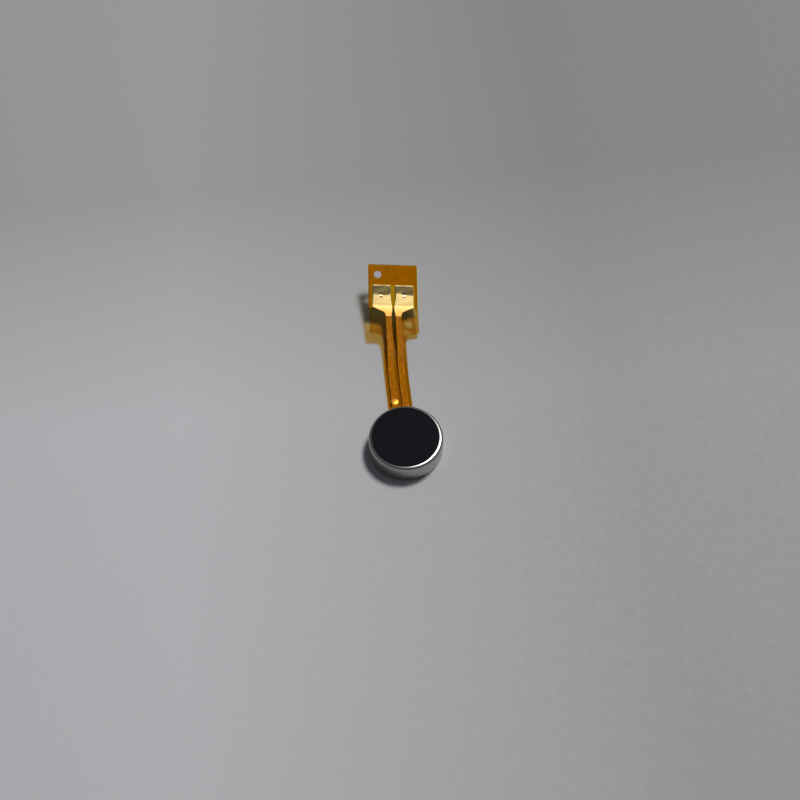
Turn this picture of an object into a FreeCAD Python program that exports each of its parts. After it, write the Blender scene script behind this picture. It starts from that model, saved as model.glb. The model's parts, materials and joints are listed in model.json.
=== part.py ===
import FreeCAD, Part
import math
import os

# Vibration coin motor with a flexible printed tail. Millimetres, +Z up.
# Origin: centre of the base plate's underside. The tail leaves along +Y.

# Case and base plate
case_r = 5.0
case_top = 3.0
case_wall = 0.2
case_rim_z = 0.08
case_edge_round = 0.4
case_inner_round = 0.25
seat_depth = 0.1
exit_half_w = 1.8
exit_top = 0.5
notch_w = 0.9
notch_top = 0.48
notch_angles = (-71.7, 48.3, 168.3)
base_t = 0.25
base_r = 4.78
lug_r = 4.87
lug_w = 0.7
boss_r = 0.6
boss_top = 0.7
groove_r = 1.1
groove_w = 0.12
groove_depth = 0.03
cut_reach = 0.5

# Shaft, bearing and washers
shaft_r = 0.3
shaft_z = 0.08
press_gap = 0.002
running_gap = 0.02
bush_r = 0.75
bush_z = 0.8
bush_top = 2.55
lower_washer_r = 0.6
upper_washer_r = 0.68
lower_washer_top = 0.78
upper_washer_z = 2.65

# Pad on top of the case
pad_r = 4.54
pad_x = -0.06
pad_film_t = 0.05
pad_t = 0.15

# Stator magnet
magnet_r_in = 2.5
magnet_r_out = 4.3
magnet_top = 1.05

# Layers of the flexible circuit, measured up from its underside
glue = 0.002
film_t = 0.06
copper_t = 0.035
cover_t = 0.05
plating_t = 0.012
copper_w = film_t + glue
plating_w = copper_w + copper_t + glue
cover_w = plating_w + cover_t
flex_z = base_t + glue

# Circuit inside the case and its straight run to the bend
flex_disc_r = 4.3
flex_hole_r = 0.9
bend_y = 10.0
bend_gap = 0.4
root_y = bend_y - bend_gap / 2
tip_y = bend_y + bend_gap / 2
brush_x = 1.2
brush_w = 0.5
leaf_t = 0.05
leaf_foot_y = 1.9
leaf_bend_y = 1.3
leaf_touch_z = 1.2
solder_t = 0.05
solder_inset = 0.05
land_half_w = 0.42
land_y = (1.2, 2.0)
land_overlap = 0.3
hub_run_x = (1.1, 2.0)
hub_run_y = (-1.5, 2.6)
window_side = 0.04

# Contact end of a brush: place along the leaf, drop below the touching height
leaf_tip = ((-0.35, 0.18), (-0.1, 0.07), (0.08, 0.05), (0.26, 0.08), (0.45, 0.15))

# Tail and its two tracks
tail_half_w = 1.65
track_x = 0.725
track_w = 0.85
track_side = 0.01
handle = 2.5
land_r = 0.56
test_r = 0.5
test_y = 7.4

# Head of the tail: a flat wing, a crease and a stiffened upper plate
head_centre = FreeCAD.Vector(0.38, 18.35, 1.22)
head_yaw = -3.4
head_slope = 12.0
head_roll = 8.5
fold_angle = 10.5
fold_room = 20.0
head_half_w = 3.6
wing_len = 4.05
plate_len = 6.55
head_len = wing_len + plate_len
head_stub = 1.3
corner_r = 0.2
fillet_r = 1.1
hole_r = 0.57
overlap = 0.1
upper_hole = (-2.2, head_len - 1.5)
wing_hole = (2.2, 1.35)

# Contact pads in the window of the cover film
pad_outer = 3.0
pad_inner = 0.35
pad_near = 4.2
pad_far = 7.5
taper_near = 3.35
shoulder_r = 0.7
waist_inner = 0.17
waist_u = (3.6, 4.1)
waist_blend = (3.2, 5.6)
plate_near = 2.8
window_x = 3.2
window_u = (2.72, 7.62)

# Stiffener behind the upper plate
stiff_glue_t = 0.05
stiff_t = 0.2
stiff_shift = 0.1
stiff_start = 0.06

# Rotor
comm_r_in = 0.8
comm_r_out = 1.65
comm_z = 1.215
comm_gap = 0.12
comm_count = 6
board_z = 1.25
board_t = 0.2
board_r = 4.3
core_r = 0.5
hub_r = 1.9
rotor_r = 4.5
rotor_top = 2.55
hub_top = 2.3
coil_r_out = 1.15
coil_r_in = 0.45
coil_at = 2.85
coil_turn = 52.0
coil_top = 2.25
weight_r_in = 3.0
weight_half = 28.0
weight_top = 2.5
joint_r = 0.18
joint_at = 2.1
joint_z = 1.13
joint_angles = (30.0, 60.0, 120.0, 150.0)

X = FreeCAD.Vector(1, 0, 0)
Y = FreeCAD.Vector(0, 1, 0)
Z = FreeCAD.Vector(0, 0, 1)


def cylinder(radius, z0, z1, x=0.0, y=0.0):
    return Part.makeCylinder(radius, z1 - z0, FreeCAD.Vector(x, y, z0))


def ring(r_in, r_out, z0, z1):
    return cylinder(r_out, z0, z1).cut(cylinder(r_in, z0, z1))


def block(x0, x1, y0, y1, z0, z1):
    return Part.makeBox(x1 - x0, y1 - y0, z1 - z0, FreeCAD.Vector(x0, y0, z0))


def prism(points, z0, z1):
    corners = [FreeCAD.Vector(x, y, z0) for x, y in points]
    face = Part.Face(Part.makePolygon(corners + corners[:1]))
    return face.extrude(Z * (z1 - z0))


def sector(r_in, r_out, z0, z1, middle, half):
    wedge = Part.makeCylinder(r_out, z1 - z0, FreeCAD.Vector(0, 0, z0), Z, 2 * half)
    wedge.rotate(FreeCAD.Vector(), Z, middle - half)
    return wedge.cut(cylinder(r_in, z0, z1))


def spun(shape, angle):
    turned = shape.copy()
    turned.rotate(FreeCAD.Vector(), Z, angle)
    return turned


# ---- case, base plate and pad ----

def top_case():
    inner_r = case_r - case_wall
    under = case_top - case_wall
    seat_r = shaft_r + press_gap
    k = 1 - math.sqrt(0.5)
    outer_mid = FreeCAD.Vector(case_r - case_edge_round * k, 0, case_top - case_edge_round * k)
    inner_mid = FreeCAD.Vector(inner_r - case_inner_round * k, 0, under - case_inner_round * k)
    p = [
        FreeCAD.Vector(inner_r, 0, case_rim_z),
        FreeCAD.Vector(case_r, 0, case_rim_z),
        FreeCAD.Vector(case_r, 0, case_top - case_edge_round),
        FreeCAD.Vector(case_r - case_edge_round, 0, case_top),
        FreeCAD.Vector(0, 0, case_top),
        FreeCAD.Vector(0, 0, under + seat_depth),
        FreeCAD.Vector(seat_r, 0, under + seat_depth),
        FreeCAD.Vector(seat_r, 0, under),
        FreeCAD.Vector(inner_r - case_inner_round, 0, under),
        FreeCAD.Vector(inner_r, 0, under - case_inner_round),
    ]
    edges = [Part.makeLine(p[0], p[1]), Part.makeLine(p[1], p[2])]
    edges.append(Part.Arc(p[2], outer_mid, p[3]).toShape())
    edges += [Part.makeLine(a, b) for a, b in zip(p[3:8], p[4:9])]
    edges.append(Part.Arc(p[8], inner_mid, p[9]).toShape())
    edges.append(Part.makeLine(p[9], p[0]))
    shell = Part.Face(Part.Wire(edges)).revolve(FreeCAD.Vector(), Z, 360)
    shell = shell.cut(block(-exit_half_w, exit_half_w, inner_r - cut_reach, case_r + cut_reach, 0, exit_top))
    notch = block(inner_r - cut_reach, case_r + cut_reach, -notch_w / 2, notch_w / 2, 0, notch_top)
    for angle in notch_angles:
        shell = shell.cut(spun(notch, angle))
    return shell


def base_bracket():
    plate = cylinder(base_r, 0, base_t).fuse(cylinder(boss_r, 0, boss_top))
    lug = block(base_r - cut_reach, lug_r, -lug_w / 2, lug_w / 2, 0, base_t)
    for angle in notch_angles:
        plate = plate.fuse(spun(lug, angle))
    plate = plate.cut(cylinder(shaft_r + press_gap, shaft_z, boss_top))
    return plate.cut(ring(groove_r, groove_r + groove_w, 0, groove_depth)).removeSplitter()


def adhesive_film():
    return cylinder(pad_r, case_top, case_top + pad_film_t, pad_x)


def foam_pad():
    return cylinder(pad_r, case_top + pad_film_t, case_top + pad_film_t + pad_t, pad_x)


def exit_seal():
    inner_y = case_r - case_wall
    z0 = flex_z + cover_w + glue
    z1 = exit_top - glue
    half = exit_half_w - glue
    low = FreeCAD.Vector(-half, case_r + (z1 - z0), z0)
    high = FreeCAD.Vector(-half, case_r, z1)
    middle = FreeCAD.Vector(-half, case_r + (z1 - z0) * math.sqrt(0.5), z0 + (z1 - z0) * math.sqrt(0.5))
    back_high = FreeCAD.Vector(-half, inner_y, z1)
    back_low = FreeCAD.Vector(-half, inner_y, z0)
    edges = [Part.Arc(low, middle, high).toShape(), Part.makeLine(high, back_high)]
    edges += [Part.makeLine(back_high, back_low), Part.makeLine(back_low, low)]
    return Part.Face(Part.Wire(edges)).extrude(X * (2 * half))


# ---- shaft, bearing, washers, magnet ----

def shaft():
    return cylinder(shaft_r, shaft_z, case_top - case_wall + seat_depth - press_gap)


def bearing_bush():
    return ring(shaft_r + running_gap, bush_r, bush_z, bush_top)


def lower_thrust_washer():
    return ring(shaft_r + running_gap, lower_washer_r, boss_top + glue, lower_washer_top)


def upper_thrust_washer():
    return ring(shaft_r + running_gap, upper_washer_r, upper_washer_z, case_top - case_wall - glue)


def ring_magnet():
    return ring(magnet_r_in, magnet_r_out, flex_z + cover_w + glue, magnet_top)


# ---- brushes ----

def brush(angle):
    z0 = flex_z + plating_w + solder_t
    lower = [(-leaf_foot_y, z0), (-leaf_bend_y, z0)]
    lower += [(y, leaf_touch_z - drop) for y, drop in leaf_tip]
    upper = [(y, z + leaf_t) for y, z in reversed(lower)]
    corners = [FreeCAD.Vector(-brush_x - brush_w / 2, y, z) for y, z in lower + upper]
    leaf = Part.Face(Part.makePolygon(corners + corners[:1])).extrude(X * brush_w)
    return spun(leaf, angle)


def brush_solder():
    half = brush_w / 2
    z0 = flex_z + plating_w
    y1 = -leaf_bend_y - solder_inset
    pad = block(-brush_x - half, -brush_x + half, -leaf_foot_y, y1, z0, z0 + solder_t - glue)
    return Part.makeCompound([pad, spun(pad, 180)])


# ---- rotor ----

def commutator():
    washer = ring(comm_r_in, comm_r_out, comm_z, board_z - glue)
    slot = block(0, comm_r_out + cut_reach, -comm_gap / 2, comm_gap / 2, comm_z - cut_reach, board_z)
    for i in range(comm_count):
        washer = washer.cut(spun(slot, i * 360.0 / comm_count))
    return washer


def rotor_board():
    board = sector(core_r, board_r, board_z, board_z + board_t, 90, 90)
    board = board.fuse(cylinder(hub_r, board_z, board_z + board_t)).removeSplitter()
    return board.cut(cylinder(bush_r + press_gap, board_z, board_z + board_t))


def coil_joints():
    spots = []
    for angle in joint_angles:
        x = joint_at * math.cos(math.radians(angle))
        y = joint_at * math.sin(math.radians(angle))
        spots.append(cylinder(joint_r, joint_z, board_z - glue, x, y))
    return Part.makeCompound(spots)


def coil(turn, gap=0.0):
    x = coil_at * math.sin(math.radians(turn))
    y = coil_at * math.cos(math.radians(turn))
    z0 = board_z + board_t + glue - gap
    z1 = coil_top + gap
    return cylinder(coil_r_out + gap, z0, z1, x, y).cut(cylinder(coil_r_in - gap, z0, z1, x, y))


def counterweight(gap=0.0):
    z0 = board_z + board_t + glue - gap
    lean = math.degrees(gap / weight_r_in)
    return sector(weight_r_in - gap, rotor_r + gap, z0, weight_top + gap, 90, weight_half + lean)


def rotor_body():
    z0 = board_z + board_t + glue
    body = sector(core_r, rotor_r, z0, rotor_top, 90, 90)
    body = body.fuse(cylinder(hub_r, z0, hub_top)).cut(cylinder(bush_r + press_gap, z0, rotor_top))
    for turn in (-coil_turn, coil_turn):
        body = body.cut(coil(turn, glue))
    return body.cut(counterweight(glue))


# ---- flexible circuit: path of the tail ----

def head_rotation():
    turn = FreeCAD.Rotation(Z, head_yaw)
    climb = FreeCAD.Rotation(X, head_slope)
    return turn.multiply(climb).multiply(FreeCAD.Rotation(Y, head_roll))


def head_placement():
    return FreeCAD.Placement(head_centre, head_rotation())


def tail_ends():
    along = head_rotation().multVec(Y)
    start = FreeCAD.Vector(0, tip_y, flex_z)
    end = head_centre - along * head_stub
    return start, start + Y * handle, end - along * handle, end


def tail_frame(q):
    # Placement on the tail's underside, q from 0 beside the bend to 1 at the head.
    a, b, c, d = tail_ends()
    p = 1 - q
    point = a * p ** 3 + b * (3 * p * p * q) + c * (3 * p * q * q) + d * q ** 3
    along = (b - a) * (p * p) + (c - b) * (2 * p * q) + (d - c) * (q * q)
    along.normalize()
    twist = q * q * (3 - 2 * q)
    across = X * (1 - twist) + head_rotation().multVec(X) * twist
    up = across.cross(along)
    up.normalize()
    return FreeCAD.Placement(point, FreeCAD.Rotation(along.cross(up), along, up, "ZYX"))


def ribbon(profile):
    # Sweeps a cross-section of the tail from the bend to the head.
    sections = []
    for i in range(7):
        frame = tail_frame(i / 6)
        corners = [frame.multVec(FreeCAD.Vector(x, 0, w)) for x, w in profile]
        sections.append(Part.makePolygon(corners + corners[:1]))
    return Part.makeLoft(sections, True, False)


def film_profile():
    return [(-tail_half_w, 0), (tail_half_w, 0), (tail_half_w, film_t), (-tail_half_w, film_t)]


def track_profile(side):
    x0 = side * track_x - track_w / 2
    x1 = side * track_x + track_w / 2
    top = copper_w + copper_t
    return [(x0, copper_w), (x1, copper_w), (x1, top), (x0, top)]


def cover_profile():
    # Flat on top, with a channel underneath for each track.
    points = [(-tail_half_w, copper_w)]
    for side in (-1, 1):
        x0 = side * track_x - track_w / 2 - track_side
        x1 = side * track_x + track_w / 2 + track_side
        points += [(x0, copper_w), (x0, plating_w), (x1, plating_w), (x1, copper_w)]
    return points + [(tail_half_w, copper_w), (tail_half_w, cover_w), (-tail_half_w, cover_w)]


# ---- flexible circuit: motor side ----

def root_blank(z0, z1):
    disc = cylinder(flex_disc_r, z0, z1).fuse(block(-tail_half_w, tail_half_w, 0, root_y, z0, z1))
    return disc.cut(cylinder(flex_hole_r, z0, z1)).removeSplitter()


def root_track(side, z0, z1, gap):
    # From the bend to the brush's land; the left track passes beside the hub.
    near = track_x - track_w / 2 - gap
    far = track_x + track_w / 2 + gap
    land = block(brush_x - land_half_w - gap, brush_x + land_half_w + gap, land_y[0], land_y[1] + gap, z0, z1)
    if side > 0:
        return land.fuse(block(near, far, land_y[1] - land_overlap, root_y, z0, z1)).removeSplitter()
    run = block(-far, -near, land_y[1], root_y, z0, z1)
    x0 = -hub_run_x[1] - gap
    x1 = -hub_run_x[0] + gap
    beside_hub = block(x0, x1, hub_run_y[0], hub_run_y[1] + gap, z0, z1)
    test = cylinder(land_r + gap, z0, z1, -track_x, test_y)
    return run.fuse([beside_hub, spun(land, 180), test]).removeSplitter()


def flex_film_root():
    return root_blank(flex_z, flex_z + film_t)


def track_root(side):
    return root_track(side, flex_z + copper_w, flex_z + copper_w + copper_t, 0)


def cover_film_root():
    z0 = flex_z + copper_w
    z1 = flex_z + cover_w
    cover = root_blank(z0, z1)
    for side in (-1, 1):
        cover = cover.cut(root_track(side, z0, flex_z + plating_w, track_side))
    reach = land_half_w + window_side
    window = block(brush_x - reach, brush_x + reach, land_y[0] - window_side, land_y[1] + window_side, z0, z1)
    return cover.cut([window, spun(window, 180), cylinder(test_r, z0, z1, -track_x, test_y)])


def test_land():
    return cylinder(test_r - window_side, flex_z + plating_w, flex_z + plating_w + plating_t, -track_x, test_y)


# ---- flexible circuit: head ----

def fold(flat):
    # Folds a flat solid of the head's pattern at the crease and sets it in place.
    crease = FreeCAD.Vector(0, wing_len, 0)
    near = block(-fold_room, fold_room, -fold_room, 0, -fold_room, fold_room)
    near.rotate(FreeCAD.Vector(), X, fold_angle / 2)
    near.translate(crease)
    wing = flat.common(near)
    far = block(-fold_room, fold_room, 0, fold_room, -fold_room, fold_room)
    far.rotate(FreeCAD.Vector(), X, -fold_angle / 2)
    far.translate(crease)
    plate = flat.common(far)
    plate.rotate(crease, X, fold_angle)
    folded = wing.fuse(plate) if wing.Volume > 0 else plate
    folded.Placement = head_placement().multiply(folded.Placement)
    return folded


def head_blank(w0, w1):
    # Wing and upper plate with the tail's stub, its two fillets and both locating holes.
    blank = block(-head_half_w, head_half_w, 0, head_len, w0, w1)
    upright = [e for e in blank.Edges if abs(e.tangentAt(e.FirstParameter).z) > 0.9]
    blank = blank.makeFillet(corner_r, upright)
    blank = blank.fuse(block(-tail_half_w, tail_half_w, -head_stub, overlap, w0, w1))
    for side in (-1, 1):
        centre_x = side * (tail_half_w + fillet_r)
        x0, x1 = sorted((side * tail_half_w, centre_x))
        web = block(x0, x1, -fillet_r, overlap, w0, w1)
        web = web.cut(cylinder(fillet_r, w0, w1, centre_x, -fillet_r))
        blank = blank.fuse(web)
    blank = blank.removeSplitter()
    for x, u in (upper_hole, wing_hole):
        blank = blank.cut(cylinder(hole_r, w0, w1, x, u))
    return blank


def head_track(side, w0, w1, start, gap):
    # A track that widens into its contact pad. The two pads come closest at a waist beside the crease.
    x0 = track_x - track_w / 2 - gap
    x1 = track_x + track_w / 2 + gap
    p0 = pad_inner - gap
    p1 = pad_outer + gap
    waist = waist_inner - gap
    outline = [(x0, start), (x1, start), (x1, taper_near), (p1, pad_near), (p1, pad_far + gap)]
    outline += [(p0, pad_far + gap), (p0, waist_blend[1]), (waist, waist_u[1]), (waist, waist_u[0])]
    outline.append((x0, waist_blend[0]))
    track = prism([(side * x, u) for x, u in outline], w0, w1)
    shoulder = FreeCAD.Vector(side * x1, taper_near, w0)
    upright = [e for e in track.Edges if abs(e.tangentAt(e.FirstParameter).z) > 0.9]
    return track.makeFillet(shoulder_r, [e for e in upright if e.distToShape(Part.Vertex(shoulder))[0] < glue])


def flex_film_tip():
    return fold(head_blank(0, film_t)).fuse(ribbon(film_profile()))


def track_tip(side):
    head = fold(head_track(side, copper_w, copper_w + copper_t, -head_stub, 0))
    return head.fuse(ribbon(track_profile(side)))


def cover_film_tip():
    blank = head_blank(copper_w, cover_w)
    blank = blank.cut(block(-window_x, window_x, window_u[0], window_u[1], 0, cover_w))
    for side in (-1, 1):
        blank = blank.cut(head_track(side, 0, plating_w, -head_stub, track_side))
    return fold(blank).fuse(ribbon(cover_profile()))


def contact_pad(side):
    return fold(head_track(side, plating_w, plating_w + plating_t, plate_near, 0))


def plate_backing(w0, w1, shift):
    # A sheet behind the upper plate, from just past the crease to the top edge.
    u0 = wing_len + stiff_start
    sheet = block(shift - head_half_w, shift + head_half_w, u0, head_len, w0, w1)
    x, u = upper_hole
    return fold(sheet.cut(cylinder(hole_r, w0, w1, x, u)))


def stiffener_glue():
    return plate_backing(-stiff_glue_t, -glue, 0)


def stiffener():
    return plate_backing(-stiff_glue_t - glue - stiff_t, -stiff_glue_t - glue, stiff_shift)


parts = {
    "top_case": top_case(),
    "base_bracket": base_bracket(),
    "adhesive_film": adhesive_film(),
    "foam_pad": foam_pad(),
    "exit_seal": exit_seal(),
    "shaft": shaft(),
    "lower_thrust_washer": lower_thrust_washer(),
    "upper_thrust_washer": upper_thrust_washer(),
    "ring_magnet": ring_magnet(),
    "brush_left": brush(0),
    "brush_right": brush(180),
    "brush_solder": brush_solder(),
    "flex_film_root": flex_film_root(),
    "track_left_root": track_root(-1),
    "track_right_root": track_root(1),
    "cover_film_root": cover_film_root(),
    "test_land": test_land(),
    "bearing_bush": bearing_bush(),
    "commutator": commutator(),
    "rotor_board": rotor_board(),
    "coil_joints": coil_joints(),
    "coil_left": coil(-coil_turn),
    "coil_right": coil(coil_turn),
    "counterweight": counterweight(),
    "rotor_body": rotor_body(),
    "flex_film_tip": flex_film_tip(),
    "track_left_tip": track_tip(-1),
    "track_right_tip": track_tip(1),
    "cover_film_tip": cover_film_tip(),
    "contact_pad_left": contact_pad(-1),
    "contact_pad_right": contact_pad(1),
    "stiffener_glue": stiffener_glue(),
    "stiffener": stiffener(),
}

os.makedirs("parts", exist_ok=True)
for name, shape in parts.items():
    shape.exportStep(f"parts/{name}.step")
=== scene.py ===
import json
import math

import bpy
import numpy as np
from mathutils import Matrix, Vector
from mathutils.geometry import delaunay_2d_cdt


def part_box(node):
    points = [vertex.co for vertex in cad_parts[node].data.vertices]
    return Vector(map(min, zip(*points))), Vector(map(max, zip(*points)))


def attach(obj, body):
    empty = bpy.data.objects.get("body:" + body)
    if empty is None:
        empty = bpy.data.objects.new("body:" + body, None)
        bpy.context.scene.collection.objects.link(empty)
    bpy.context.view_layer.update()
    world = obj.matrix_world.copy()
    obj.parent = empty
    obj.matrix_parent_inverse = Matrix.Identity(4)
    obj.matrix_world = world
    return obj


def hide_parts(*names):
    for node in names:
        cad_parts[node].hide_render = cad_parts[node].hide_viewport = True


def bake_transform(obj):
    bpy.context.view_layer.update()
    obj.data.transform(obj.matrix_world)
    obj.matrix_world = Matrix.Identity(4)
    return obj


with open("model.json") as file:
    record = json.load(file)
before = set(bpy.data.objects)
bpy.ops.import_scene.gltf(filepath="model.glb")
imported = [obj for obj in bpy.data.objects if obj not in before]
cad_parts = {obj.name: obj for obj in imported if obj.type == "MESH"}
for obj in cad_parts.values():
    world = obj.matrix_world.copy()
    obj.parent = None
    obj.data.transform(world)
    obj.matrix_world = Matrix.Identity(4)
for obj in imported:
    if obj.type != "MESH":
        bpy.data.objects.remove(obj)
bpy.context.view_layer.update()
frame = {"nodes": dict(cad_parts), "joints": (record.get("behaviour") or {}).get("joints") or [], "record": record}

MM = 0.001
mounts = {m["name"]: m for m in frame["record"]["mounts"]}
joints = {j["name"]: j for j in frame["joints"]}


def mm(v):
    return np.array(v, float) / MM


def unit(v):
    return v / np.linalg.norm(v)


# ---------------------------------------------------------------- measures, in millimetres

CASE_R = mm(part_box("top_case")[1])[0]
CASE_TOP = mm(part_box("top_case")[1])[2]
CASE_WALL = 0.2
CASE_EDGE_R = 0.42
CASE_INNER_R = 0.25
RIM_Z = mm(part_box("top_case")[0])[2]
BASE_T = 0.25
BASE_R = 4.78
LUG_R = 4.87
LUG_HALF = 0.35
BOSS_R = 0.6
BOSS_TOP = 0.7
SHAFT_HOLE_R = 0.302
SHAFT_HOLE_Z = 0.08
NOTCH_ANGLES = (-71.7, 48.3, 168.3)
NOTCH_HALF = 0.45
NOTCH_TOP = 0.48
EXIT_HALF = 1.8
EXIT_TOP = 0.5

FILM_T = 0.06
COPPER_LOW, COPPER_HIGH = 0.062, 0.097
PLATE_LOW, PLATE_HIGH = 0.099, 0.111
COVER_T = 0.0495
COVER_BESIDE = 0.112
COVER_HIGH = 0.149
LAYER_GAP = 0.002
FLEX_Z = 0.252

TAIL_HALF = 1.65
TRACK_X, TRACK_W = 0.725, 0.85
BEND_Y = joints["tail_bend"]["pos_m"][1] / MM
TIP_Y = BEND_Y + 0.2
STUB = 1.3
HANDLE = 2.5
HEAD_HALF = 3.6
WING_LEN = 4.05
HEAD_LEN = 10.6
FILLET_R = 1.1
CORNER_R = 0.2
HOLE_R = mounts["wing_hole"]["dims"]["r_mm"]
HOLES = ((-2.2, HEAD_LEN - 1.5), (2.2, 1.35))
CREASE_SOFT = 0.25
RIPPLE_HIGH = 0.0045
PAD_IN, PAD_OUT = 0.35, 3.0
PAD_NEAR, PAD_FAR = 4.2, 7.5
TAPER_NEAR, SHOULDER_R, PLATE_NEAR = 3.35, 0.7, 2.8
WAIST_IN, WAIST_U, WAIST_BLEND = 0.17, (3.6, 4.1), (3.2, 5.6)
WINDOW_X, WINDOW_NEAR, WINDOW_FAR = 3.2, 2.72, 7.62
TEST_Y, TEST_R, SPOT_R, SPOT_DOME = 7.4, 0.5, 0.46, 0.035
TEST_PAD_R = TEST_R + 0.06
DISC_R, DISC_HOLE = 4.3, 0.9
BRUSH_X, BRUSH_Y = (0.78, 1.62), (1.2, 2.0)
HUB_X, HUB_Y = (1.1, 2.0), (-1.5, 2.6)
GLUE_LOW, STIFF_LOW = -0.05, -0.252
STIFF_NEAR = WING_LEN + 0.06
STIFF_SHIFT = 0.1
PAD_FILM_T, PAD_T = 0.05, 0.15
PAD_R, PAD_FILM_R = 4.54, 4.51
PAD_X = mounts["pad_face"]["pos_m"][0] / MM

# The head's own frame, read back from its mounts.
ACROSS = unit(mm(mounts["contact_right_face"]["pos_m"]) - mm(mounts["contact_left_face"]["pos_m"]))
WING_UP = unit(np.array(mounts["wing_hole"]["axis"], float))
ALONG = unit(np.cross(WING_UP, ACROSS))
PLATE_UP = unit(np.array(mounts["plate_hole"]["axis"], float))
FOLD = math.acos(float(np.clip(WING_UP @ PLATE_UP, -1, 1)))
HEAD = (
    mm(mounts["wing_hole"]["pos_m"])
    - HOLES[1][0] * ACROSS
    - HOLES[1][1] * ALONG
    - COVER_HIGH / 2 * WING_UP
)


# ---------------------------------------------------------------- the flat pattern and where it lies

def tail_curve():
    """The four handles of the curve that the tail follows from the bend to the head."""
    start = np.array([0.0, TIP_Y, FLEX_Z])
    end = HEAD - ALONG * STUB
    return start, start + np.array([0, HANDLE, 0]), end - ALONG * HANDLE, end


def tail_points(q):
    """Points on the tail's curve, with the directions across it and up from its face."""
    a, b, c, d = tail_curve()
    q = q[:, None]
    p = 1 - q
    point = a * p**3 + b * (3 * p * p * q) + c * (3 * p * q * q) + d * q**3
    along = (b - a) * (p * p) + (c - b) * (2 * p * q) + (d - c) * (q * q)
    along /= np.linalg.norm(along, axis=1)[:, None]
    twist = q * q * (3 - 2 * q)
    across = np.array([1.0, 0, 0]) * (1 - twist) + ACROSS * twist
    up = np.cross(across, along)
    up /= np.linalg.norm(up, axis=1)[:, None]
    return point, np.cross(along, up), up


def curve_length():
    p, _, _ = tail_points(np.linspace(0, 1, 200))
    return float(np.linalg.norm(np.diff(p, axis=0), axis=1).sum())


TAIL_LEN = curve_length()
U_TIP = -STUB - TAIL_LEN


def u_at(y):
    """Place along the flat pattern of a point at y on the straight run out of the case."""
    return U_TIP + y - TIP_Y


def ripple(s, u):
    """Slight unevenness of a thin film, none inside the case, little on the stiffened plate."""
    far = np.clip((u - u_at(6.0)) / 5.0, 0, 1)
    calm = 1 - 0.7 * np.clip((u - WING_LEN + 0.6) / 0.8, 0, 1)
    wave = np.sin(1.7 * s + 0.9 * u) + 0.7 * np.sin(2.9 * u - 1.3 * s + 1.1) + 0.5 * np.sin(0.8 * u + 3.1 * s)
    return RIPPLE_HIGH * wave * far * calm


def to_space(s, u, w):
    """Flat pattern (across, along, height) to the motor's own frame, all in mm."""
    s, u, w = (np.asarray(v, float) for v in (s, u, w))
    w = w + ripple(s, u)
    out = np.stack([s, u - U_TIP + TIP_Y, FLEX_Z + w], 1)
    tail = (u > U_TIP) & (u < -STUB)
    if tail.any():
        point, across, up = tail_points((u[tail] - U_TIP) / TAIL_LEN)
        out[tail] = point + across * s[tail, None] + up * w[tail, None]
    head = u >= -STUB
    if head.any():
        radius = 2 * CREASE_SOFT / FOLD
        uh, wh = u[head], w[head]
        turn = np.clip((uh - WING_LEN + CREASE_SOFT) / (2 * CREASE_SOFT), 0, 1) * FOLD
        flat = np.minimum(uh, WING_LEN - CREASE_SOFT)
        rest = np.maximum(uh - WING_LEN - CREASE_SOFT, 0)
        y = flat + radius * np.sin(turn) - wh * np.sin(turn) + rest * np.cos(turn)
        z = radius * (1 - np.cos(turn)) + wh * np.cos(turn) + rest * np.sin(turn)
        out[head] = HEAD + s[head, None] * ACROSS + y[:, None] * ALONG + z[:, None] * WING_UP
    return out


# ---------------------------------------------------------------- outlines on the flat pattern

def arc(x, y, r, a0, a1, n):
    t = np.radians(np.linspace(a0, a1, n))
    return [(x + r * math.cos(a), y + r * math.sin(a)) for a in t]


def circle(x, y, r, n):
    return arc(x, y, r, 0, 360 - 360 / n, n)


def rounded(x0, x1, y0, y1, r, n=4):
    pts = arc(x1 - r, y0 + r, r, -90, 0, n) + arc(x1 - r, y1 - r, r, 0, 90, n)
    return pts + arc(x0 + r, y1 - r, r, 90, 180, n) + arc(x0 + r, y0 + r, r, 180, 270, n)


def soften(points, steps=6):
    """Rounds the corners of an outline. Each point is (x, y) or (x, y, radius)."""
    out = []
    n = len(points)
    for k, p in enumerate(points):
        if len(p) == 2:
            out.append(p)
            continue
        here = np.array(p[:2])
        back = np.array(points[k - 1][:2]) - here
        ahead = np.array(points[(k + 1) % n][:2]) - here
        back, ahead = unit(back), unit(ahead)
        half = math.acos(float(np.clip(back @ ahead, -1, 1))) / 2
        reach = p[2] / math.tan(half)
        centre = here + unit(back + ahead) * p[2] / math.sin(half)
        a, b = here + back * reach - centre, here + ahead * reach - centre
        a0 = math.atan2(a[1], a[0])
        turn = (math.atan2(b[1], b[0]) - a0 + math.pi) % (2 * math.pi) - math.pi
        for i in range(steps + 1):
            t = a0 + turn * i / steps
            out.append((centre[0] + p[2] * math.cos(t), centre[1] + p[2] * math.sin(t)))
    return out


def blank_outline():
    """Outline of the whole film: the disc inside the case, the tail and the head."""
    centre = u_at(0.0)
    cut = math.degrees(math.asin(TAIL_HALF / DISC_R))
    right = arc(TAIL_HALF + FILLET_R, -FILLET_R, FILLET_R, 180, 90, 10)
    right += arc(HEAD_HALF - CORNER_R, CORNER_R, CORNER_R, -90, 0, 5)
    right += arc(HEAD_HALF - CORNER_R, HEAD_LEN - CORNER_R, CORNER_R, 0, 90, 5)
    left = [(-x, y) for x, y in reversed(right)]
    return right + left + arc(0, centre, DISC_R, 90 + cut, 450 - cut, 70)


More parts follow.
